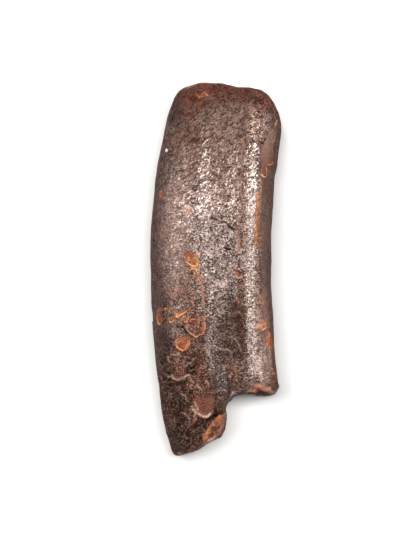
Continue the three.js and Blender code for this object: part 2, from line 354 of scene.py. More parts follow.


# Scars where flakes of cementum came off, and thin layers that stand proud (a depth below 0).
# amber and russet say how far the colour inside goes to orange-brown and to red-brown, rim how
# bright the broken edge is painted glowing, the lit side where that painted glow is brightest, calm
# how smooth it is inside, and ragged how far the edge wanders, in mm. What a scar leaves out is as in a
# plain one.
plainScar = {"amber": 0, "russet": 0, "rim": 0, "paintedLitSide": (0.1, -0.7)}
scars = {
    "ringed": {"depth": 0.2, "ragged": 0.1, "amber": 0.75, "russet": 0.4, "rim": 1.0, "calm": 0.6,
        "paintedLitSide": (-0.1, -0.15), "outline": [
        (-8.15, -14.3), (-7.6, -13.9), (-6.9, -13.75), (-6.3, -13.45), (-5.6, -13.6), (-5.2, -14.1),
        (-5.25, -14.8), (-5.5, -15.5), (-5.9, -16.0), (-6.8, -16.2), (-7.6, -15.9), (-8.0, -15.3)]},
    "scallopedLayer": {"depth": -0.2, "ragged": 0.06, "amber": 0.5, "russet": 0.2, "rim": 0.95,
        "calm": 0.1, "paintedLitSide": (-0.15, -0.85), "outline": [
        (-5.6, -9.65), (-6.3, -9.55), (-6.85, -9.85), (-7.0, -10.4), (-6.75, -10.95), (-6.1, -11.0),
        (-5.85, -11.6), (-5.55, -12.3), (-5.0, -12.75), (-4.5, -13.15), (-4.0, -13.45), (-3.6, -13.35),
        (-3.2, -12.95), (-2.7, -12.9), (-2.4, -12.6), (-2.2, -12.0), (-2.05, -11.5), (-2.3, -11.0),
        (-2.3, -10.3), (-2.15, -9.5), (-2.4, -8.2), (-3.6, -8.6), (-4.8, -9.0)]},
    "wedge": {"depth": 0.1, "ragged": 0.04, "amber": 0.9, "rim": 1.0, "calm": 0.9, "outline": [
        (-8.3, -8.5), (-7.75, -9.45), (-7.0, -8.95), (-6.2, -8.45), (-5.8, -8.15), (-6.5, -8.3),
        (-7.3, -8.6)]},
    "smallRing": {"depth": 0.12, "ragged": 0.04, "amber": 0.8, "russet": 0.2, "rim": 0.8, "calm": 0.9,
        "outline": [
        (-9.35, -9.35), (-8.9, -9.2), (-8.5, -9.35), (-8.45, -9.9), (-8.65, -10.4), (-9.0, -10.5),
        (-9.35, -10.35), (-9.4, -9.8)]},
    "tongue": {"depth": 0.14, "ragged": 0.05, "amber": 0.55, "russet": 0.2, "rim": 0.55, "calm": 0.8,
        "outline": [
        (-12.15, -7.6), (-12.0, -8.8), (-12.1, -9.8), (-11.9, -10.5), (-11.5, -11.05), (-11.15, -10.8),
        (-10.9, -10.2), (-10.95, -9.0), (-10.85, -7.9), (-11.4, -7.3)]},
    "bright": {"depth": 0.16, "ragged": 0.05, "amber": 0.85, "rim": 1.0, "calm": 0.5,
        "paintedLitSide": (0.5, -0.9), "outline": [
        (-6.0, 3.5), (-5.6, 4.0), (-5.0, 4.0), (-4.5, 3.8), (-4.1, 3.2), (-4.0, 2.7), (-3.6, 2.4),
        (-3.45, 1.9), (-3.6, 1.2), (-4.1, 0.9), (-4.8, 1.0), (-5.3, 1.3), (-5.8, 1.7), (-6.15, 2.1),
        (-6.05, 2.9)]},
    "arched": {"depth": 0.1, "ragged": 0.05, "amber": 0.3, "russet": 0.3, "rim": 0.95, "calm": 0.2,
        "paintedLitSide": (0.5, 0.9), "outline": [
        (-5.5, -0.2), (-5.0, 0.3), (-4.4, 0.45), (-3.9, 0.3), (-3.6, -0.3), (-3.5, -0.8), (-3.8, -1.2),
        (-4.6, -1.3), (-5.3, -0.9)]},
    "smallArched": {"depth": 0.1, "ragged": 0.05, "amber": 0.4, "russet": 0.4, "rim": 0.6, "calm": 0.2,
        "paintedLitSide": (0.5, 0.9), "outline": [
        (-4.1, -1.7), (-3.9, -1.35), (-3.3, -1.25), (-2.9, -1.6), (-2.7, -2.2), (-2.9, -2.8),
        (-3.6, -2.7)]},
    "leftOval": {"depth": 0.1, "ragged": 0.06, "amber": 0.35, "russet": 0.1, "rim": 0.4, "calm": 0.6,
        "outline": oval(-10.9, 15.6, 0.45, 0.95, 5)},
    "longRing": {"depth": 0.12, "ragged": 0.08, "amber": 0.8, "rim": 1.0, "calm": 0.5,
        "paintedLitSide": (0, -0.35), "outline": [
        (10.7, -12.6), (11.1, -12.5), (11.4, -13.3), (11.6, -14.2), (11.8, -15.0), (11.9, -15.7),
        (11.6, -15.9), (11.25, -15.3), (10.95, -15.8), (10.65, -15.6), (10.6, -14.9), (10.5, -14.2),
        (10.5, -13.4)]},
    "smear": {"depth": 0.05, "ragged": 0.12, "amber": 0.8, "rim": 0.9, "calm": 0.4, "paintedLitSide": (1, -0.1),
        "outline": [
        (8.1, -10.8), (8.7, -10.3), (9.5, -10.2), (10.1, -10.4), (10.5, -10.9), (10.4, -11.5),
        (10.0, -11.9), (9.2, -12.1), (8.4, -12.0), (8.1, -11.4)]},
    "patch": {"depth": 0.08, "ragged": 0.2, "amber": 0.8, "rim": 0.3, "calm": 0.2, "paintedLitSide": (-1, 0),
        "outline": [
        (3.9, -0.3), (4.05, 0.1), (4.6, 0.25), (5.4, 0.0), (5.6, -0.6), (5.3, -1.1), (4.4, -1.15),
        (4.0, -0.8)]},
    "triangularPlate": {"depth": -0.14, "ragged": 0.1, "russet": 0.2, "calm": 0.4, "outline": [
        (0.2, -2.2), (1.3, -3.9), (2.7, -2.3), (1.6, -1.9)]},
    "reddishPlate": {"depth": -0.2, "ragged": 0.12, "amber": 0.1, "russet": 0.6, "calm": 0.35, "outline": [
        (-8.1, -20.0), (-8.0, -19.2), (-7.4, -18.9), (-6.5, -18.9), (-6.1, -19.4), (-6.1, -20.4),
        (-6.0, -21.1), (-6.6, -21.7), (-7.2, -22.1), (-7.9, -22.0), (-8.3, -21.4)]},
    "redPatch": {"depth": -0.1, "ragged": 0.14, "amber": 0.2, "russet": 0.6, "rim": 0.15, "calm": 0.35,
        "paintedLitSide": (0, 1), "outline": [
        (-4.2, -20.2), (-4.0, -19.5), (-3.4, -19.2), (-2.7, -19.5), (-2.4, -20.3), (-2.6, -21.0),
        (-3.3, -21.1), (-3.9, -20.8)]},
    "redColumn": {"depth": -0.1, "ragged": 0.2, "russet": 0.45, "calm": 0.15, "outline": [
        (-3.2, -21.2), (-2.3, -21.4), (-2.2, -22.8), (-1.4, -23.6), (-1.5, -24.7), (-2.6, -24.8),
        (-2.9, -23.4), (-3.4, -22.4)]},
    "bigPlate": {"depth": -0.3, "ragged": 0.07, "amber": 0.15, "russet": 0.4, "rim": 0.35, "calm": 0.75,
        "outline": [
        (-4.75, -27.3), (-4.8, -27.9), (-4.3, -28.6), (-3.6, -29.1), (-3.0, -29.6), (-2.3, -29.95),
        (-1.6, -29.85), (-1.05, -29.3), (-0.7, -28.6), (-0.4, -27.8), (-0.1, -26.9), (-0.3, -26.0),
        (-0.9, -25.3), (-2.0, -24.9), (-3.3, -25.1), (-4.0, -25.5), (-4.3, -26.3)]},
    "shoulder": {"depth": 0.0, "ragged": 0.3, "amber": 0.12, "russet": 0.2, "calm": 0.9, "outline": [
        (9.0, 19.8), (9.2, 21.5), (9.1, 23.5), (9.5, 25.2), (10.2, 26.8), (10.9, 28.6), (11.5, 28.4),
        (11.6, 25.0), (11.6, 22.2), (11.2, 21.6), (10.5, 21.3), (10.4, 20), (10.1, 19.1)]},
    # the smooth wall beyond the long peel line on the right, with the places where its edge is painted
    # glowing: x, y, reach and strength
    "peeledWall": {"depth": 0.16, "ragged": 0.06, "rim": 0.12, "calm": 0.5, "outline": [
        (12.0, 34.0), (12.1, 32.5), (12.2, 31.0), (12.5, 30.4), (12.4, 29.9), (12.0, 29.4), (11.9, 28.2),
        (11.8, 27.0), (11.65, 26.3), (11.4, 25.8), (11.6, 25.0), (11.65, 23.0), (11.5, 21.9), (11.2, 21.5),
        (10.75, 21.6), (10.45, 21.2), (10.35, 20.7), (10.5, 20.1), (10.4, 19.3), (10.1, 18.95),
        (9.7, 19.2), (9.0, 19.8), (8.6, 19.2), (8.5, 18.3), (8.9, 17.6), (9.35, 16.8), (9.3, 16.2),
        (8.9, 15.5), (8.6, 14.6), (8.6, 13), (8.5, 11), (8.5, 9), (8.5, 7), (8.7, 5), (8.9, 3), (9.1, 1),
        (9.2, -1), (9.3, -3), (9.6, -4.2), (9.2, -4.9), (9.6, -5.5), (9.7, -6.3), (9.4, -7.4), (9.7, -8.5),
        (9.9, -10.2), (10.5, -10.8), (10.4, -11.6), (9.9, -12.2), (10.1, -14), (10.4, -16), (10.8, -18),
        (11.1, -20), (11.4, -22), (11.3, -23.6), (20, -24), (20, 34)],
        "paintedGlowSpots": [
        (12.1, 30, 4.0, 0.7), (12.3, 30.1, 1.0, 0.9), (12.0, 32.2, 0.4, 0.5), (11.6, 26.3, 0.8, 0.6),
        (11.1, 21.5, 0.7, 0.7), (10.4, 20.2, 1.0, 1.0), (10.0, 19.1, 0.9, 0.9), (9.3, 16.8, 1.2, 1.0),
        (8.9, 15.4, 1.0, 0.9), (8.6, 13, 1.6, 0.6), (8.5, 10, 2.4, 0.5), (8.6, 7, 1.8, 0.5),
        (9.6, -6.4, 1.1, 0.9)]},
}

# Fine lines: path, width and height in mm, how strong the painted amber glow of each is, and how pale each
# is (0 to 1).
streaks = [
    ([(8.3, -23.4), (8.9, -23.4), (9.6, -23.7), (10.3, -24.0), (10.9, -24.3)], 0.9, 0.08, 0.95, 0.4),
    ([(11.1, -23.6), (11.3, -24.2), (11.6, -24.7)], 0.4, 0.04, 0.7, 0.1),
    ([(6.5, -24.7), (7.3, -24.35), (8.2, -24.1)], 0.6, 0.0, 0.35, 0.1),
    ([(2.2, -29.2), (2.25, -30.2), (1.9, -31.4)], 0.5, 0.0, 0.5, 0.35),
    ([(1.2, -29.6), (0.3, -30.4), (-0.7, -31.5)], 0.35, 0.04, 0.4, 0.0),
    ([(-1.3, -32.3), (-1.9, -33.3), (-2.2, -34.3), (-1.9, -35.0)], 0.4, 0.04, 0.5, 0.0),
    # a painted highlight on the sheared face
    ([(-1.3, -34.4), (-0.6, -34.4), (0.1, -34.0)], 0.9, 0.08, 0.1, 1.0),
    ([(0.9, -32.4), (1.2, -31.2), (1.5, -30.4)], 0.6, 0.05, 0.3, 0.6),
    ([(-3.9, 36.6), (-3.8, 35.7), (-3.4, 35.3), (-2.9, 35.6), (-2.5, 36.0)], 0.35, 0.05, 0.6, 0.0),
    ([(-2.2, 36.2), (-1.6, 35.6), (-0.9, 35.5), (-0.5, 35.9)], 0.35, 0.05, 0.6, 0.0),
    ([(-5.6, 36.0), (-5.9, 35.4), (-6.0, 34.8)], 0.3, 0.03, 0.35, 0.0),
    ([(9.0, 35.6), (10.0, 35.2), (10.9, 34.3), (11.3, 33.4)], 0.9, 0.02, 0.28, 0.0),
    ([(8.7, 15.2), (8.5, 14.0), (8.6, 12.6), (8.3, 11.2), (8.45, 9.8), (8.25, 8.4), (8.3, 7.0),
     (8.1, 5.4)], 0.6, 0.04, 0.9, 0.0),
    ([(4.65, 7.1), (4.7, 5.4), (4.6, 4.0)], 0.35, 0.03, 0.5, 0.3),
    ([(6.1, 6.8), (6.0, 4.5)], 0.3, 0.03, 0.4, 0.2),
    ([(-6.05, 8.2), (-5.8, 8.6), (-5.35, 8.85)], 0.3, 0.03, 0.45, 0.0),
    ([(-3.4, 3.9), (-2.95, 4.0), (-2.7, 3.5), (-2.95, 3.1)], 0.3, 0.04, 0.4, 0.0),
    ([(-10.45, -8.0), (-10.1, -7.65), (-9.3, -7.7), (-8.6, -8.0), (-8.25, -8.6),
     (-8.0, -9.1)], 0.32, 0.06, 0.9, 0.0),
    ([(-2.9, -2.6), (-2.65, -3.2), (-2.55, -4.0), (-2.8, -4.6), (-2.5, -5.3), (-2.4, -6.2),
     (-2.35, -6.9)], 0.5, 0.05, 0.6, 0.25),
    ([(0.5, -2.6), (1.4, -3.4), (2.0, -2.8), (2.6, -2.2)], 0.25, 0.08, 0.05, 0.6),
    ([(0.4, -7.9), (0.8, -8.6), (1.9, -8.7)], 0.3, 0.05, 0.15, 0.6),
    ([(4.4, -5.6), (4.75, -6.4)], 0.55, 0.02, 0.5, 0.2),
    ([(4.8, -8.4), (5.2, -9.0)], 0.4, 0.02, 0.5, 0.2),
    ([(4.0, -0.2), (4.1, -1.2), (4.7, -1.5), (5.4, -1.2)], 0.3, 0.04, 0.2, 0.6),
    ([(-2.3, -7.6), (-2.15, -9.0), (-2.3, -10.6), (-2.1, -12.0)], 0.35, 0.06, 0.6, 0.2),
    ([(-6.9, -9.9), (-6.4, -9.5), (-5.7, -9.6), (-5.5, -9.9)], 0.4, 0.06, 0.75, 0.1),
    ([(11.5, 27.6), (11.8, 26.9), (11.6, 26.3), (11.3, 26.0)], 0.3, 0.05, 0.55, 0.2),
    ([(12.1, 31.2), (12.45, 30.6), (12.35, 30.1), (12.05, 29.9)], 0.4, 0.05, 0.9, 0.0),
    ([(7.2, 34), (7.1, 32.6), (6.9, 31.6), (6.5, 30.2), (6.2, 28.8)], 0.3, 0.06, 0.35, 0.1),
    ([(5.9, 26.4), (5.6, 25.0), (5.3, 23.6), (5.3, 22.4)], 0.35, 0.04, 0.35, 0.1),
    ([(5.3, 19.8), (5.0, 18.4), (5.1, 16.9)], 0.4, 0.02, 0.45, 0.1),
    ([(4.9, 12.4), (4.7, 10.6), (4.8, 9.2)], 0.3, 0.03, 0.4, 0.15),
    ([(-8.1, -3.1), (-7.6, -3.6), (-7.3, -4.2), (-6.9, -4.9), (-6.2, -5.4), (-5.85, -5.8),
     (-5.8, -6.3)], 0.3, 0.08, 0.5, 0.25),
    ([(-9.6, -3.2), (-9.2, -4.0), (-8.9, -4.5), (-8.0, -4.6), (-7.7, -5.0),
     (-7.6, -5.6)], 0.3, 0.06, 0.5, 0.1),
    ([(-8.9, -4.6), (-9.3, -5.2)], 0.28, 0.04, 0.3, 0.0),
    ([(-5.9, -11.5), (-5.55, -12.3), (-5.0, -12.75), (-4.5, -13.15)], 0.22, 0.05, 0.0, 0.7),
    ([(-3.9, -4.2), (-3.3, -4.35)], 0.28, 0.08, 0.0, 0.8),
    ([(-4.8, -6.6), (-4.4, -7.0)], 0.2, 0.08, 0.1, 0.8),
    ([(11.3, -10.0), (11.25, -11.6)], 0.3, 0.0, 0.5, 0.0),
    ([(9.5, -5.6), (9.65, -6.3), (9.45, -7.0), (9.2, -7.4)], 0.3, 0.05, 0.8, 0.0),
    ([(8.4, -11.2), (9.4, -11.2)], 1.3, 0.0, 0.3, 0.45),
    ([(9.1, -5.0), (9.0, -6.4)], 0.9, 0.0, 0.35, 0.2),
    ([(8.7, -8.0), (9.2, -10.0)], 1.2, 0.0, 0.0, 0.35),
    ([(11.5, -9.9), (11.3, -11.4)], 0.4, 0.0, 0.6, 0.0),
    ([(11.0, -12.7), (10.8, -13.6), (10.9, -14.6), (11.2, -15.4)], 0.45, 0.03, 0.8, 0.0),
    ([(11.5, -14.0), (11.8, -15.2), (11.9, -15.8)], 0.4, 0.03, 0.8, 0.0),
    ([(-10.0, -21.1), (-9.4, -21.6), (-8.9, -21.4)], 0.4, 0.12, 0.0, 0.35),
    ([(-8.5, -21.2), (-8.3, -21.8), (-7.8, -22.1), (-7.1, -22.15), (-6.5, -21.8), (-6.0, -21.4),
     (-5.4, -21.2)], 0.42, 0.14, 0.1, 0.55),
    ([(-5.9, -19.4), (-5.5, -18.8), (-4.9, -18.7), (-4.4, -18.2), (-4.1, -17.8)], 0.3, 0.12, 0.0, 0.4),
    ([(-9.5, -17.4), (-9.3, -18.5), (-8.5, -18.7)], 0.35, 0.08, 0.0, 0.35),
    ([(-5.1, -21.5), (-4.8, -22.4), (-4.4, -22.8)], 0.3, 0.1, 0.0, 0.45),
    ([(-3.8, -23.1), (-3.2, -23.8), (-2.7, -24.4)], 0.2, 0.08, 0.0, 0.8),
    ([(-4.75, -27.6), (-4.4, -28.2), (-3.7, -28.8), (-3.0, -29.3), (-2.3, -29.7), (-1.6, -29.6),
     (-1.0, -29.0)], 0.55, 0.1, 0.0, 0.75),
    ([(-4.2, -26.6), (-3.8, -27.4), (-3.5, -28.2)], 0.3, 0.04, 0.1, 0.4),
    ([(3.2, -25.2), (3.4, -25.8), (3.9, -26.3)], 0.25, 0.06, 0.1, 0.4),
    ([(5.3, -18.6), (5.5, -19.4), (5.6, -19.8)], 0.25, 0.06, 0.0, 0.5),
    ([(6.8, -20.0), (7.0, -20.5)], 0.25, 0.05, 0.0, 0.8),
    ([(-8.9, -17.0), (-8.0, -17.2), (-7.4, -16.9)], 0.3, 0.08, 0.0, 0.45),
    ([(-6.4, -17.6), (-5.7, -17.3), (-5.2, -17.7)], 0.25, 0.08, 0.0, 0.4),
    ([(0.2, -15.4), (1.2, -16.0), (2.4, -15.9), (3.4, -16.6)], 0.25, 0.08, 0.1, 0.4),
    ([(3.2, -13.4), (4.2, -14.0), (4.8, -15.0), (5.2, -16.2)], 0.25, 0.08, 0.05, 0.45),
    ([(2.9, -26.0), (3.2, -25.2), (3.8, -24.6)], 0.3, 0.08, 0.1, 0.5),
    ([(-1.9, -22.4), (-1.4, -22.9), (-1.2, -23.6)], 0.3, 0.06, 0.15, 0.5),
    ([(-7.0, -24.9), (-6.0, -25.4), (-5.6, -26.4)], 0.3, 0.08, 0.0, 0.35),
    ([(-6.6, -28.9), (-5.6, -29.4), (-5.1, -30.2)], 0.3, 0.08, 0.05, 0.35),
    ([(-4.3, -29.5), (-3.9, -30.3)], 0.4, 0.08, 0.4, 0.3),
]

# small flecks of bare dentine: x, y, radius and how bright their painted amber glow is
flecks = [
    (10.0, 10.6, 0.24, 0.5), (10.1, 8.9, 0.18, 0.45), (9.2, 7.8, 0.22, 0.6), (10.6, 6.0, 0.16, 0.45),
    (10.8, -0.9, 0.18, 0.45), (10.0, -2.7, 0.22, 0.5), (10.9, -5.5, 0.2, 0.45), (10.7, 3.2, 0.15, 0.4),
    (10.3, -8.6, 0.2, 0.45), (10.9, -9.6, 0.16, 0.4), (9.9, 13.6, 0.2, 0.45), (10.4, 15.9, 0.16, 0.4),
    (-4.9, 21.2, 0.35, 0.7), (-9.0, 16.9, 0.35, 0.55), (-5.3, 12.3, 0.35, 0.6), (-4.2, 11.6, 0.3, 0.6),
    (4.4, 14.2, 0.28, 0.45), (1.2, 22.1, 0.28, 0.4), (2.8, -21.4, 0.45, 0.7), (3.8, -20.3, 0.4, 0.5),
    (3.6, -19.6, 0.25, 0.4), (5.0, -20.8, 0.28, 0.45), (11.75, -20.0, 0.4, 0.9), (11.9, -20.8, 0.45, 0.9),
    (11.4, -19.6, 0.3, 0.6), (12.1, -22.5, 0.4, 0.7), (8.0, -5.0, 0.4, 0.5), (8.9, -3.3, 0.35, 0.45),
    (9.9, 27.0, 0.25, 0.4), (6.3, -16.4, 0.3, 0.45), (-0.7, 5.4, 0.25, 0.35), (1.5, -1.0, 0.25, 0.45),
    (3.2, 5.6, 0.25, 0.45), (8.8, 0.5, 0.4, 0.5), (-4.5, -30.8, 0.35, 0.45), (-4.2, -29.3, 0.3, 0.5),
    (1.6, -26.1, 0.35, 0.45), (-8.9, -22.6, 0.3, 0.35), (-7.3, -37.2, 0.4, 0.6), (6.0, -21.8, 0.3, 0.35),
    (-8.1, -2.5, 0.25, 0.4), (-7.4, 2.8, 0.3, 0.35), (-6.6, 25.4, 0.2, 0.3), (4.0, 8.3, 0.3, 0.4),
    (-1.0, 8.0, 0.3, 0.35), (-3.9, 5.6, 0.25, 0.4), (0.5, 26.8, 0.2, 0.3),
]
chip = (-10.1, 24.45, 0.22, 0.36)  # a white chip: middle and half sizes

# the broken end: where the ridge snapped, and the sheared side of the prong, seen from above
ridgeBreak = [
    (5.6, -25.4), (6.3, -24.7), (7.0, -24.25), (7.8, -24.1), (8.15, -23.6), (8.5, -23.15), (8.9, -23.1),
    (9.2, -23.35), (9.7, -23.4), (10.2, -23.65), (10.7, -23.7), (11.0, -23.5), (11.25, -23.6),
    (11.5, -24.2), (12.0, -24.5), (14, -25), (14, -28), (4.6, -28),
]
prongFacet = [
    (2.7, -28.2), (1.9, -28.7), (1.2, -29.2), (0.4, -29.9), (-0.3, -30.6), (-1.0, -31.5), (-1.6, -32.4),
    (-2.2, -33.2), (-2.45, -34.0), (-2.3, -35.0), (-2.6, -37), (4.5, -37), (4.5, -28),
]


def seenFromAbove(points):
    # Where the points appear from straight above, which is how the outlines, folds and areas
    # here are drawn: the top looks some 2 % larger than it is.
    middle = np.array(camera["aim"][:2])
    height = points[:, 2] - camera["aim"][2]
    return middle + (points[:, :2] - middle) * (1 + height / body["drawnFrom"])[:, None]


def pathDistance(xy, path):
    # distance to a line of points seen from above
    nearest = np.full(len(xy), 1e3)
    for start, end in zip(path[:-1], path[1:]):
        start, run = np.array(start), np.subtract(end, start)
        t = np.clip((xy - start) @ run / (run @ run), 0, 1)
        nearest = np.minimum(nearest, np.linalg.norm(xy - start - t[:, None] * run, axis=1))
    return nearest


def outlineDistance(xy, outline):
    # the same to a closed outline, and below 0 inside it
    closed = outline + outline[:1]
    inside = np.zeros(len(xy), bool)
    for (x0, y0), (x1, y1) in zip(closed[:-1], closed[1:]):
        spans = (y0 > xy[:, 1]) != (y1 > xy[:, 1])
        inside ^= spans & (xy[:, 0] < (x1 - x0) * (xy[:, 1] - y0) / (y1 - y0 + 1e-12) + x0)
    nearest = pathDistance(xy, closed)
    return np.where(inside, -nearest, nearest)


def nearTo(xy, path, reach):
    # which points lie within a box round a path
    path = np.array(path)
    return np.all((xy > path.min(0) - reach) & (xy < path.max(0) + reach), axis=1)


def ovalArea(xy, x, y, halfX, halfY):
    # 1 inside an oval area, fading to 0 outside it
    away = np.hypot((xy[:, 0] - x) / halfX, (xy[:, 1] - y) / halfY)
    return 1 - softStep(away, 0.6, 1.3)


def wrinkleHeight(points, up):
    # Pads of skin with narrow creases between them, each area with its own direction: their
    # height, and the pattern alone (-0.6 in a crease, 0.4 on a pad).
    height, pattern = np.zeros(len(points)), np.zeros(len(points))
    total = np.full(len(points), 1e-3)
    drift = sidewaysField(points, 2.6, 11)
    for i, (*area, angle, length, spacing, rise) in enumerate(relief["wrinkles"]):
        weight = ovalArea(points[:, :2], *area) * up
        here = weight > 0.01
        turn = math.radians(angle)
        flat = points[here, :2] + 0.9 * drift[here]
        along = flat @ np.array([math.cos(turn), math.sin(turn)]) / length
        across = flat @ np.array([-math.sin(turn), math.cos(turn)]) / spacing
        placed = np.stack([along, across, points[here, 2] / spacing], axis=1)
        pad = np.minimum(1, 3.2 * np.abs(noiseField(placed, 1.0, 20 + i))) - 0.6
        height[here] += weight[here] * pad * rise
        pattern[here] += weight[here] * pad
        total[here] += weight[here]
    return height / np.maximum(total, 1), pattern / np.maximum(total, 1)


def scarRelief(points, up):
    # what the scars and layers add, with the distance to the nearest broken edge and its painted glow
    xy = points[:, :2]
    fields = {k: np.zeros(len(points)) for k in ("height", "amber", "russet", "paintedGlow", "calm")}
    fields["rim"] = np.full(len(points), 2.0)
    wander = noiseField(points, 0.7, 31) + 0.6 * noiseField(points, 0.3, 32)
    edge = relief["scarEdge"]
    for scar in scars.values():
        scar = {**plainScar, **scar}
        outline = np.array(scar["outline"])
        near = nearTo(xy, outline, 2.5) & (up > 0.02)
        away = outlineDistance(xy[near], scar["outline"]) + scar["ragged"] * wander[near]
        inside = (1 - softStep(away, -0.13, 0.13)) * up[near]
        middle = outline.mean(0)
        outward = (xy[near] - middle) / (np.linalg.norm(xy[near] - middle, axis=1) + 0.1)[:, None]
        # painted light: each edge glows brightest on the side towards the light
        lit = np.clip(0.62 + 0.6 * outward @ np.array(scar["paintedLitSide"]), 0.15, 1)
        paintedGlow = scar["rim"] * lit
        if "paintedGlowSpots" in scar:
            paintedGlow = np.full(len(lit), scar["rim"])
            for x, y, reach, strength in scar["paintedGlowSpots"]:
                paintedGlow = np.maximum(paintedGlow, strength * ovalArea(xy[near], x, y, reach, reach))
        lip = edge["lip"] * np.exp(-((away - 0.1) / 0.15) ** 2)
        lip = lip - edge["hollow"] * lit * np.exp(-((away - 0.6) / 0.28) ** 2)
        drop = -inside * scar["depth"] + (lip if scar["rim"] > 0.2 else 0) * up[near]
        deeper = np.abs(drop) > np.abs(fields["height"][near])
        fields["height"][near] = np.where(deeper, drop, fields["height"][near])
        for tone in ("amber", "russet", "calm"):
            fields[tone][near] = np.maximum(fields[tone][near], inside * scar[tone])
        if scar["rim"] > 0:
            closer = np.abs(away) < np.abs(fields["rim"][near])
            fields["rim"][near] = np.where(closer, away, fields["rim"][near])
            fields["paintedGlow"][near] = np.where(closer, paintedGlow * softStep(up[near], 0, 0.4), fields["paintedGlow"][near])
    return fields


def foldHeight(points, up):
    # the single folds and cracks
    height = np.zeros(len(points))
    wander = 0.3 * sidewaysField(points, 1.2, 43)
    for path, width, rise in folds:
        near = nearTo(points[:, :2], path, 2)
        away = pathDistance(points[near, :2] + wander[near], path)
        height[near] += rise * up[near] * np.exp(-(away / (0.6 * width)) ** 2)
    return height


def streakRelief(points, up):
    # the fine lines and flecks: their height, their painted amber glow, and how pale they are
    xy = points[:, :2]
    height, amber, pale = np.zeros(len(points)), np.zeros(len(points)), np.zeros(len(points))
    wander = 0.1 * sidewaysField(points, 0.6, 41)
    broken = 0.7 + 0.6 * noiseField(points, 0.7, 45)
    for path, width, rise, paintedGlow, paleness in streaks:
        near = nearTo(xy, path, 1.5) & (up > 0.02)
        away = pathDistance(xy[near] + wander[near], path)
        within = (1 - softStep(away, 0.15 * width, 0.75 * width)) * up[near]
        height[near] += within * rise
        amber[near] = np.maximum(amber[near], within * paintedGlow * np.clip(broken[near], 0, 1))
        pale[near] = np.maximum(pale[near], within * paleness * np.clip(broken[near] + 0.2, 0, 1))
    for x, y, radius, paintedGlow in flecks:
        near = nearTo(xy, [(x, y)], 1) & (up > 0.02)
        away = np.hypot(*(xy[near] + 4 * wander[near] - (x, y)).T)
        amber[near] = np.maximum(amber[near], paintedGlow * (1 - softStep(away, 0.3 * radius, radius)))
    return height, amber, pale


def plateRelief(points, up):
    # Thin layers that broke away in steps, near the root end: their height, the worn edge of each
    # and the painted shade at its foot.
    plates = relief["plates"]
    weight = sum(ovalArea(points[:, :2], *area) for area in plates["areas"]) * up
    level = plates["levels"] * (noiseField(points, plates["size"], 51) + 0.4 * noiseField(points, 1.1, 52))
    part = level - np.floor(level)
    height = weight * plates["step"] * (np.floor(level) + softStep(part, 0.36, 0.64))
    worn = weight * np.exp(-((part - 0.66) / 0.1) ** 2)
    # painted shade at the foot of each step
    footShade = weight * np.exp(-((part - 0.36) / 0.14) ** 2)
    return height, worn, footShade


def backScars(points, up):
    # scattered flakes missing from the walls and the back: their height, the distance to their
    # edges in mm, and 1 inside them
    back = relief["backScars"]
    field = noiseField(points, back["size"], 61) + 0.25 * noiseField(points, 1.2, 62)
    away = (back["gap"] + 0.5 * up - field) * 3.2
    inside = 1 - softStep(away, -0.2, 0.2)
    return -back["depth"] * inside, away, inside


def brokenMask(points, normals):
    # 1 on the fractured faces of the root end
    x, y = points[:, :2].T
    facesRoot = softStep(-normals[:, 1], 0.45, 0.75)
    facesNotch = softStep(normals[:, 0], 0.45, 0.75) * (1 - softStep(x, 4.5, 6.5))
    low = 1 - softStep(y, -24.5, -22.5)
    mask = np.maximum(facesRoot, facesNotch) * low
    for outline in (ridgeBreak, prongFacet):
        near = nearTo(points[:, :2], outline, 1)
        away = outlineDistance(points[near, :2], outline) + 0.12 * noiseField(points[near], 0.6, 63)
        mask[near] = np.maximum(mask[near], 1 - softStep(away, -0.1, 0.1))
    return np.clip(mask, 0, 1)


def breakTones(points):
    # how far inside each break a point lies, in mm
    tones = []
    for outline in (ridgeBreak, prongFacet):
        depth = np.full(len(points), -1.0)
        near = nearTo(points[:, :2], outline, 1)
        ragged = 0.15 * noiseField(points[near], 0.6, 64) + 0.1 * noiseField(points[near], 0.25, 65)
        depth[near] = ragged - outlineDistance(points[near, :2], outline)
        tones.append(depth)
    return tones


def chewedBands(points):
    # how far out a point lies on the chewing face: 0 in the middle, 1 at the rim
    chewing = relief["chewing"]
    across = (points[:, 0] - chewing["middle"][0]) / chewing["half"][0]
    high = (points[:, 2] - chewing["middle"][1]) / chewing["half"][1]
    out = (across ** 4 + high ** 4) ** 0.25
    return out + 0.05 * noiseField(points, 2.5, 67) + 0.02 * noiseField(points, 0.6, 68)


def chewedHeight(points, bands):
    # the dish, the ring of hard dentine round it and faint scratches across
    chewing = relief["chewing"]
    ringed = chewing["rise"] * np.exp(-((bands - chewing["ring"]) / 0.06) ** 2)
    dished = chewing["dish"] * (1 - softStep(bands, 0.2, 0.75))
    return ringed - dished + 0.05 * noiseField(points / [2.5, 1, 0.5], 1.0, 92)


def addStains(fields, points, xy, up):
    # the tones and the polish that lie over the skin, with more polish along the ridge
    for tone, areas in stains.items():
        amount = sum(strength * ovalArea(xy, *area) for *area, strength in areas)
        fields[tone] = np.maximum(fields.get(tone, 0), np.clip(amount, 0, 1) * up)
    away = pathDistance(xy, ridge["crest"]) + 0.5 * noiseField(points, 1.5, 90)
    onRidge = (1 - softStep(away, 0.0, ridge["reach"])) * up
    onRidge *= ridge["polish"] + ridge["patches"] * noiseField(points, 2.5, 91)
    fields["polish"] = np.clip(fields["polish"] + onRidge, 0, 1)


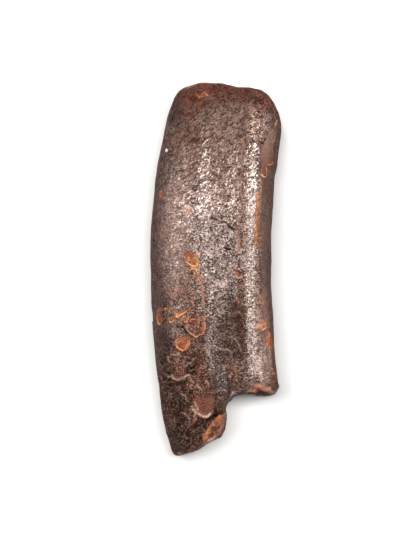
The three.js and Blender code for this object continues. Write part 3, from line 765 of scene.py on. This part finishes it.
def shapeSkin(piece):
    points, normals = readSkin(piece)
    xy = seenFromAbove(points)
    seen = np.column_stack([xy, points[:, 2]])
    up = softStep(normals[:, 2], 0.05, 0.4)
    broken = brokenMask(seen, normals)
    chewed = softStep(normals[:, 1], 0.6, 0.85)
    chewed *= softStep(points[:, 1], body["crownFrom"], body["crownFrom"] + 2)
    bands = chewedBands(points)
    skin = (1 - broken) * (1 - chewed)
    scar = scarRelief(seen, up * skin)
    streakHeight, streakPaintedGlow, streakPale = streakRelief(seen, up * (1 - chewed))
    backDrop, backAway, backInside = backScars(points, up)
    inScar = softStep(-scar["rim"], 0.0, 0.3)
    calm = scar["calm"]

    height = lumpHeight(points, relief["swells"], 70)
    wall = softStep(np.hypot(normals[:, 0], normals[:, 1]), 0.3, 0.9)
    for *area, rise in body["trims"]:
        height += rise * ovalArea(xy, *area) * wall
    wrinkled, pads = wrinkleHeight(seen, up)
    lively = skin * (1 - calm) * (1 - 0.5 * inScar)
    height += lively * wrinkled
    length, spacing, rise = relief["sideGrain"]
    grain = noiseField(points / [spacing, length, spacing], 1.0, 75)
    height += skin * (1 - up) * rise * grain
    folded = foldHeight(seen, up)
    stepped, worn, footShade = plateRelief(seen, up * skin * (1 - calm))
    height += skin * (scar["height"] + streakHeight + folded + stepped)
    height += skin * (1 - up) * backDrop
    height += broken * lumpHeight(points, relief["fracture"], 80)
    height += chewed * chewedHeight(points, bands)

    # the worn flats underneath stay on the floor
    rests = 1 - softStep(points[:, 2], 0.0, 0.25)
    points += normals * (height * (1 - rests))[:, None]
    points[:, 2] = np.maximum(points[:, 2], 0)
    piece.data.vertices.foreach_set("co", (points * mm).ravel())
    piece.data.update()

    back = relief["backScars"]
    onBack = (1 - up) * skin
    ledge, facet = breakTones(seen)
    ledge -= 3 * (1 - softStep(points[:, 2] + noiseField(points, 1.5, 69), 7.5, 11.5))
    fields = {
        "rim": np.where(onBack > 0.5, np.clip(backAway, -2, 2), scar["rim"]),
        "paintedGlow": np.where(onBack > 0.5, back["paintedGlow"] * onBack, scar["paintedGlow"]),
        "paintedStreakGlow": streakPaintedGlow,
        "lip": np.maximum(streakPale, relief["plates"]["worn"] * worn),
        "amber": scar["amber"] + back["amber"] * onBack * backInside,
        "russet": np.maximum(scar["russet"], back["russet"] * onBack * backInside),
        "broken": broken,
        "ledge": ledge,
        "facet": facet,
        "chip": ovalArea(xy, *chip) * up,
        # painted light: the break shows its brighter tones only towards the top and stays darker lower down
        "lit": softStep(points[:, 2] + 1.5 * noiseField(points, 2.0, 66), 4.5, 8.5),
        "chewed": chewed,
        "bands": bands,
        "calm": np.maximum(calm, back["calm"] * onBack),
        "pads": lively * pads,
        "weave": ovalArea(xy, *relief["weave"]),
        "dull": skin * (1 - softStep(normals[:, 2], 0.35, 0.75)),
        "hollow": np.clip((-folded - 0.13) / 0.14, 0, 1) * skin,  # only the deeper folds
    }
    addStains(fields, points, xy, up)
    # painted shade at the foot of each broken step
    fields["soot"] = np.maximum(fields["soot"], relief["plates"]["dirt"] * footShade)
    for name, values in fields.items():
        layer = piece.data.attributes.new(name, "FLOAT", "POINT")
        layer.data.foreach_set("value", np.asarray(values, np.float32))
    piece.data.shade_smooth()
    print("skin shaped:", len(points), "points")


# materials

# Fossil tooth: cementum over dentine, turned dark brown by minerals from the ground. It is dense
# and takes a natural polish, so crests glint; creases and deeper folds are painted dark as shade.
# Thin broken edges of the outer layer are painted with an amber glow, brightest on their lit side.
toothFinish = {
    "umber": "#462b22",
    "umberRed": "#4e231a",
    "umberGrey": "#42342a",
    # a paler tone, also used as painted sheen
    "pale": "#957064",
    # dark soil, also used as painted shade
    "soot": "#190a05",
    # dark in creases: painted shade over soil
    "crease": "#1f0b05",
    "russet": "#6c342a",
    "amber": "#9c5430",
    "rimDull": "#b97149",
    # a painted glow on thin broken edges
    "rimBright": "#ffb15e",
    "rimPink": "#dd9670",
    # pale worn edges and lines; also painted glints on crumbled crests and the sheared face, and a painted
    # highlight
    "lip": "#dcb6a6",
    "chip": "#fbf6ee",
    "speck": "#b8693c",
    "fracture": "#6f4832",
    "fractureDark": "#3c2216",
    "film": "#cab2a8",  # iron and manganese oxides, with a submetallic lustre
    "filmGrey": "#b8b2a4",  # where manganese leads
    "filmBright": "#f9e1d6",  # where it is thickest
    "filmRed": "#b58a70",
    "crumb": "#723f2e",
    "tan": "#b6836c",
    "lustre": 0.88,
    "padShare": 0.09,  # how far the pads decide, beside the finest crackle, what is burnished
    "crestUnworn": 0.64,  # how high a crest must be to be burnished, where nothing rubbed the skin
    "crestWorn": 0.455,  # and where it is rubbed most
    "ior": 1.64,  # apatite
    "specular": 0.04,
    "roughness": 0.31,
    "unburnished": 0.16,  # how much rougher the skin is between its crests
    "dullness": 0.3,  # and how much more so the walls are, which nothing rubbed
    "crackleHeight": 0.36,  # mm
    "lineDepth": 0.07,  # mm
    "gritHeight": 0.02,  # mm
    "rimWidth": 0.12,  # mm each side of the broken edge
}

# the ways that a pattern can lie: degrees anticlockwise, and how far it is drawn out along x, y, z
grains = {
    "diagonal": (46, (2.4, 1, 1)),
    "level": (8, (1.8, 1, 1)),
    "cross": (0, (1.4, 1, 1)),
    "lengthwise": (0, (1, 2.4, 1.3)),
}

# the patterns: size of a lump in mm, detail, distortion, a number of its own, and how it lies
# unless that is evenly
patterns = {
    "wide": (7.0, 3, 0.4, 1),
    "small": (1.6, 4, 0.6, 2),
    "wrinkled": (0.25, 1, 0.3, 3, "diagonal"),  # the finest wrinkles
    "chaotic": (0.25, 1, 0.5, 3.5),
    "longLines": (0.75, 1, 0.5, 3.7, "diagonal"),
    "shortLines": (0.62, 1, 0.6, 3.8, "level"),
    "linePatches": (1.3, 1, 0, 3.9),
    "grit": (0.2, 1, 0, 4),  # drawn coarser than the real pores, which are too fine to see
    "specked": (0.42, 1, 0.3, 5, "lengthwise"),
    "drift": (1.7, 2, 0.5, 6),
    "lipPatches": (0.5, 2, 0.8, 7),
    "rimPatches": (0.7, 2, 0.8, 8),
    "bumpy": (0.8, 2, 0.8, 9),
    "clods": (0.7, 2, 0.6, 10),
    "combed": (0.32, 2, 0.4, 11, "lengthwise"),
    "crumbled": (0.28, 1, 0.3, 12, "cross"),
    "blocky": (1.1, 4, 0.3, 13),
    "splinters": (0.45, 2, 0.3, 14),
    "porous": (0.6, 3, 0.3, 15),
    "pools": (3.0, 3, 0.5, 16),
    "cloudy": (1.8, 2, 0.5, 17),
    "patina": (1.0, 2, 0.5, 18),
    "glassy": (1.5, 3, 0.2, 19),
}

dentineRing = relief["chewing"]["ring"]

# Tones laid over a first one, in order: the tone, the mark that says where, and if something
# breaks it up, that mark with two of its levels and the strengths they give (0 and 1 unless said).
layers = {
    "skin": [
        "umber",
        ("umberRed", "everywhere", "wide", 0.4, 0.62, 0, 0.5),
        ("umberGrey", "grey"),
        # paler skin with painted sheen
        ("pale", "pale", "small", 0.3, 0.62, 1, 0.6),
        ("umberRed", "red", "small", 0.3, 0.7, 0.5, 1),
        ("russet", "russet", "small", 0.3, 0.6, 0.7, 1),
        ("amber", "amber", "small", 0.3, 0.6, 0.7, 1),
        ("rimPink", "amber", "bumpy", 0.5, 0.6, 0, 0.7),
        ("crumb", "crumbs", "clods", 0.48, 0.56, 0, 0.85),
        ("tan", "crumbs", "crests", 0.56, 0.64),
        # painted glints on the crumbled crests
        ("lip", "crumbs", "crumbled", 0.58, 0.64, 0, 0.75),
        # painted shade in the creases
        ("crease", "creases"),
        # painted shade in the deeper folds and at the foot of each broken step
        ("soot", "dirt"),
        # dark soil with painted shade, broken up
        ("soot", "soot", "small", 0.3, 0.65, 1, 0.7),
        # streaks along the walls; the dark ones also darken the walls as painted shade
        ("pale", "dull", "combed", 0.5, 0.64, 0, 0.32),
        ("crease", "dull", "combed", 0.48, 0.36, 0, 0.55),
        ("speck", "specks", "wide", 0.35, 0.6, 0.1, 0.7),
    ],
    # the broken end: the plain fracture, the ridge's end from its amber lip inwards, the sheared
    # side of the prong, and the three together
    "fracturePlain": [
        "fractureDark",
        ("fracture", "everywhere", "blocky", 0.4, 0.62),
        ("rimDull", "everywhere", "splinters", 0.6, 0.68, 0, 0.7),
    ],
    "ridgeEnd": [
        "amber",
        ("rimPink", "everywhere", "bumpy", 0.4, 0.56),
        ("russet", "everywhere", "ledge", 0.4, 0.9),
        # painted shade: a dark band in the concave step of the ridge's broken end
        ("fractureDark", "everywhere", "ledge", 0.8, 1.2),
        ("fracturePlain", "everywhere", "ledge", 1.5, 2.1),
    ],
    "sheared": [
        "fracture",
        ("rimDull", "everywhere", "glassy", 0.42, 0.56),
        ("amber", "everywhere", "cloudy", 0.46, 0.6, 0, 0.7),
        # painted glints on the sheared face
        ("rimPink", "everywhere", "glassy", 0.52, 0.62, 0, 0.8),
        ("lip", "everywhere", "crumbled", 0.6, 0.66, 0, 0.5),
        ("russet", "everywhere", "glassy", 0.46, 0.38, 0, 0.9),
        # painted shade in the cracks
        ("crease", "cracks"),
    ],
    "fractured": [
        "fracturePlain",
        # painted light: the brighter tones of the break show only near its top
        ("ridgeEnd", "lit", "ledge", -0.05, 0.05),
        ("sheared", "lit", "facet", -0.05, 0.05),
    ],
    # the skin with its break
    "outside": ["skin", ("fractured", "broken")],
    # the chewing face: softer dentine inside, a ring of hard dentine, then cementum
    "chewedFace": [
        "fractureDark",
        ("crumb", "everywhere", "porous", 0.4, 0.6),
        ("tan", "everywhere", "pools", 0.45, 0.65, 0, 0.5),
        ("outside", "everywhere", "bands", dentineRing - 0.1, dentineRing),
        ("tan", "ring", "small", 0.35, 0.6, 0.2, 0.8),
    ],
    # painted glow along the broken edges, brightest on their lit side
    "brokenEdge": ["rimDull", ("rimBright", "everywhere", "edge", 0.4, 0.95)],
    "oxideFilm": [
        "film",
        ("filmGrey", "everywhere", "patina", 0.46, 0.58, 0, 0.45),
        ("filmBright", "thickFilm"),
        ("filmRed", "red"),
    ],
    "tooth": [
        "outside",
        ("chewedFace", "chewed"),
        # painted glow along broken edges, lines and flecks
        ("brokenEdge", "everywhere", "edge", 0.05, 0.5),
        ("lip", "lip", "lipPatches", 0.36, 0.52, 0.35, 1.35),
        ("chip", "chip"),
        ("oxideFilm", "metal"),
    ],
}

# the settings that each kind of node takes unless told otherwise
usualSettings = {
    "MapRange": {"interpolation_type": "SMOOTHSTEP"},
    "Mapping": {"vector_type": "TEXTURE"},
    "Math": {"operation": "MULTIPLY"},
    "Mix": {"data_type": "RGBA"},
    "TexNoise": {"noise_dimensions": "4D"},
}


def addNode(tree, kind, *values, output=None, **settings):
    # One node with its settings and links. The values fill the inputs that it shows, in order,
    # and are numbers, hex colours or the outputs that feed them; None leaves an input alone.
    made = tree.nodes.new("ShaderNode" + kind)
    for name, value in {**usualSettings.get(kind, {}), **settings}.items():
        setattr(made, name, value)
    for socket, value in zip([s for s in made.inputs if s.enabled], values):
        if isinstance(value, bpy.types.NodeSocket):
            tree.links.new(value, socket)
        elif value is not None:
            socket.default_value = srgb(value) if isinstance(value, str) else value
    return made.outputs[output] if output else [s for s in made.outputs if s.enabled][0]


def addMarks(node, piece):
    # the marks that say where: what the skin's shaping stored, then the patterns
    marks = {layer.name: node("Attribute", output="Fac", attribute_name=layer.name)
             for layer in piece.data.attributes if layer.data_type == "FLOAT"}
    inMm = node("VectorMath", node("TexCoord", output="Object"), 1 / mm, operation="SCALE")
    laid = {}
    for grain, (turn, stretch) in grains.items():
        laid[grain] = node("Mapping", inMm, None, (0, 0, math.radians(turn)), stretch)
    for pattern, (size, detail, distortion, own, *grain) in patterns.items():
        place = laid[grain[0]] if grain else inMm
        marks[pattern] = node("TexNoise", place, own, 1 / size, detail, None, None, distortion)
    marks["everywhere"] = 1.0
    return marks


def markCrests(node, marks):
    # the skin's finest crackle, whose highest crests are burnished first
    look = toothFinish
    crackled = node("Mix", marks["weave"], marks["chaotic"], marks["wrinkled"], data_type="FLOAT")
    crests = node("Math", marks["pads"], look["padShare"], crackled, operation="MULTIPLY_ADD")
    drift = node("MapRange", marks["drift"], 0.3, 0.7, -0.04, 0.04)
    crests = node("Math", crests, drift, operation="ADD")
    level = node("MapRange", marks["polish"], 0, 1, look["crestUnworn"], look["crestWorn"])
    above = node("Math", crests, level, operation="SUBTRACT")
    marks.update({"crackled": crackled, "crests": crests, "tops": node("MapRange", above, -0.07, 0.07)})


def markCreases(node, marks):
    # creases are painted dark as shade over soil: long thin lines, the gaps between pads, and the finest
    # crumbling
    lines = node("Mix", marks["weave"], marks["shortLines"], marks["longLines"], data_type="FLOAT")
    lines = node("Math", node("Math", lines, 0.5, operation="SUBTRACT"), operation="ABSOLUTE")
    patchy = node("MapRange", marks["linePatches"], 0.4, 0.56)
    lines = node("Math", node("MapRange", lines, 0.05, 0.01), patchy)
    gaps = node("MapRange", marks["pads"], -0.4, -0.58, 0, 0.85)
    creases = node("Math", lines, gaps, operation="MAXIMUM")
    sharp = node("Math", marks["sharp"], node("MapRange", marks["small"], 0.36, 0.62, -0.015, 0.095))
    deep = node("Math", marks["crumbled"], sharp, operation="SUBTRACT")
    creases = node("Math", creases, node("MapRange", deep, 0.41, 0.36, 0, 0.88), operation="MAXIMUM")

    # the crumbling's highest grains glint where the skin is polished
    glints = node("Math", marks["crumbled"], sharp, operation="ADD")
    glints = node("Math", node("MapRange", glints, 0.6, 0.65), node("MapRange", marks["polish"], 0.1, 0.5))
    tops = node("Math", marks["tops"], glints, operation="MAXIMUM")
    tops = node("Math", tops, node("Math", 1, creases, operation="SUBTRACT"))

    level = node("MapRange", marks["tan"], 0, 1, 0.42, 0.47)
    pits = node("Math", marks["crests"], level, operation="SUBTRACT")
    creases = node("Math", creases, node("MapRange", pits, 0.06, -0.06, 0, 0.85), operation="MAXIMUM")
    creases = node("Math", creases, node("MapRange", marks["calm"], 0, 1, 0.95, 0.1))
    creases = node("Math", creases, node("MapRange", marks["weave"], 0, 1, 1, 0.95))
    marks.update({"lines": lines, "creases": creases, "glints": glints, "tops": tops})


def markEdges(node, marks):
    # where a broken edge is painted glowing amber, as if light shone through its thin edge
    width = toothFinish["rimWidth"]
    edge = node("Math", node("Math", marks["rim"], operation="ABSOLUTE"),
                node("MapRange", marks["grit"], 0.2, 0.8, -0.06, 0.06), operation="ADD")
    edge = node("MapRange", edge, 0.5 * width, 1.5 * width, 1, 0)
    edge = node("Math", edge, marks["paintedGlow"])
    facetEdge = node("Math", marks["facet"], operation="ABSOLUTE")
    facetEdge = node("Math", node("MapRange", facetEdge, 0.1, 0.3, 0.4, 0), marks["lit"])
    for other in (facetEdge, marks["paintedStreakGlow"]):
        edge = node("Math", edge, other, operation="MAXIMUM")
    marks["edge"] = node("Math", edge, node("MapRange", marks["rimPatches"], 0.36, 0.6, 0.5, 1.1))


def markBurnish(node, marks):
    # how far each point is burnished: not at all on a broken edge or a broken face
    polish = marks["polish"]
    rough = node("Math", node("MapRange", marks["edge"], 0, 0.3), marks["broken"], operation="MAXIMUM")
    bare = node("Math", marks["amber"], marks["hollow"], operation="MAXIMUM")
    least = node("Math", node("MapRange", marks["weave"], 0, 1, 0.33, 0.36),
                 node("MapRange", polish, 0.82, 1, 0.33, 0.62), operation="MAXIMUM")
    burnish = node("MapRange", marks["tops"], 0, 1, least, 1)
    for share in (node("MapRange", polish, 0.1, 0.8, 0.3, 1),
                  node("Math", marks["creases"], -0.85, 1, operation="MULTIPLY_ADD"),
                  node("Math", 1, rough, operation="SUBTRACT"),
                  node("MapRange", marks["soot"], 0, 1, 1, 0.5),
                  node("MapRange", marks["russet"], 0, 1, 1, 0.3),
                  node("Math", 1, bare, operation="SUBTRACT")):
        burnish = node("Math", burnish, share)
    marks.update({"burnish": burnish, "metal": node("Math", burnish, toothFinish["lustre"])})


def layTones(node, marks):
    # the marks that only the layers use, then one tone over another
    lively = node("Math", 1, marks["calm"], operation="SUBTRACT")
    ring = node("Math", marks["bands"], dentineRing, operation="SUBTRACT")
    start = node("MapRange", marks["dull"], 0.2, 1, 0.69, 0.64)
    thick = node("MapRange", marks["polish"], 0.5, 1, 0, 0.85)
    marks.update({
        "crumbs": node("Math", marks["tan"], lively),
        # painted shade in the deeper folds
        "dirt": node("Math", marks["hollow"], 0.8),
        "cracks": node("Math", marks["lines"], 0.8),
        "specks": node("MapRange", marks["specked"], start, 0.74),
        "ring": node("MapRange", node("Math", ring, operation="ABSOLUTE"), 0.06, 0.02),
        "thickFilm": node("Math", marks["glints"], thick, operation="MAXIMUM"),
    })
    tones = dict(toothFinish)
    for result, (first, *rows) in layers.items():
        colour = tones[first]
        for tone, where, *breakUp in rows:
            strength = marks[where]
            if breakUp:
                strength = node("Math", strength, node("MapRange", marks[breakUp[0]], *breakUp[1:]))
            colour = node("Mix", strength, colour, tones[tone])
        tones[result] = colour
    return tones["tooth"]


def finestRelief(node, marks):
    # the bump: the finest crackle and its long creases, flatter where the skin is calm, and grit
    look = toothFinish
    relieved = node("Math", marks["crackled"], look["crackleHeight"])
    relieved = node("Math", marks["lines"], -look["lineDepth"], relieved, operation="MULTIPLY_ADD")
    relieved = node("Math", relieved, node("MapRange", marks["calm"], 0, 1, 1, 0.12))
    relieved = node("Math", marks["grit"], look["gritHeight"], relieved, operation="MULTIPLY_ADD")
    return node("Bump", 1, mm, None, relieved)


def mineralisedTooth(name, piece):
    look = toothFinish
    material = bpy.data.materials.new(name)
    material.use_nodes = True
    tree = material.node_tree
    node = partial(addNode, tree)
    marks = addMarks(node, piece)
    markCrests(node, marks)
    markCreases(node, marks)
    markEdges(node, marks)
    markBurnish(node, marks)
    between = look["roughness"] + look["unburnished"]
    roughness = node("MapRange", marks["burnish"], 0, 0.8, between, look["roughness"])
    roughness = node("Math", marks["dull"], look["dullness"], roughness,
                     operation="MULTIPLY_ADD", use_clamp=True)
    shader = tree.nodes["Principled BSDF"]
    tree.links.new(layTones(node, marks), shader.inputs["Base Color"])
    tree.links.new(marks["metal"], shader.inputs["Metallic"])
    tree.links.new(roughness, shader.inputs["Roughness"])
    tree.links.new(finestRelief(node, marks), shader.inputs["Normal"])
    shader.inputs["IOR"].default_value = look["ior"]
    shader.inputs["Specular IOR Level"].default_value = look["specular"]
    return material


tooth = addBody("fossilTooth")
print("body remeshed:", len(tooth.data.polygons), "faces")
shapeSkin(tooth)
tooth.data.materials.clear()
tooth.data.materials.append(mineralisedTooth("mineralisedDentineNaturalPolish", tooth))
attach(tooth, "root")
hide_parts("tooth")
print("tooth finished")


# floor and light

studio = {
    "floorHalf": 3.0,  # m
    "floor": "#f4f3f1",
    "box": {"at": (0.0, 0.12, 0.9), "size": (0.7, 0.22), "power": 11.0},
    "key": {"at": (-0.35, 0.65, 0.5), "size": (0.3, 0.2), "power": 2.0},
    "fill": 0.05,
}


def addFloor():
    bm = bmesh.new()
    bmesh.ops.create_grid(bm, x_segments=1, y_segments=1, size=studio["floorHalf"])
    floor = addPiece("floor", bm)
    paper = bpy.data.materials.new("mattePaper")
    paper.use_nodes = True
    shader = paper.node_tree.nodes["Principled BSDF"]
    shader.inputs["Base Color"].default_value = srgb(studio["floor"])
    shader.inputs["Roughness"].default_value = 0.9
    shader.inputs["Specular IOR Level"].default_value = 0.2
    floor.data.materials.append(paper)


def addLight(name):
    light = studio[name]
    data = bpy.data.lights.new(name, "AREA")
    data.shape = "RECTANGLE"
    data.size, data.size_y = light["size"]
    data.energy = light["power"]
    lamp = bpy.data.objects.new(name, data)
    # it looks at the tooth, with its long side level
    back = Vector(light["at"]).normalized()
    side = Vector((0, 1, 0)).cross(back).normalized()
    facing = Matrix((side, back.cross(side), back)).transposed().to_4x4()
    lamp.matrix_world = Matrix.Translation(light["at"]) @ facing
    lamp.visible_camera = False
    bpy.context.scene.collection.objects.link(lamp)


addFloor()
addLight("box")
addLight("key")
world = bpy.data.worlds.new("studio")
world.use_nodes = True
world.node_tree.nodes["Background"].inputs["Strength"].default_value = studio["fill"]
world.node_tree.nodes["Background"].inputs["Color"].default_value = (1, 1, 1, 1)
bpy.context.scene.world = world
bpy.context.scene.view_settings.view_transform = "Standard"

print("studio lit")
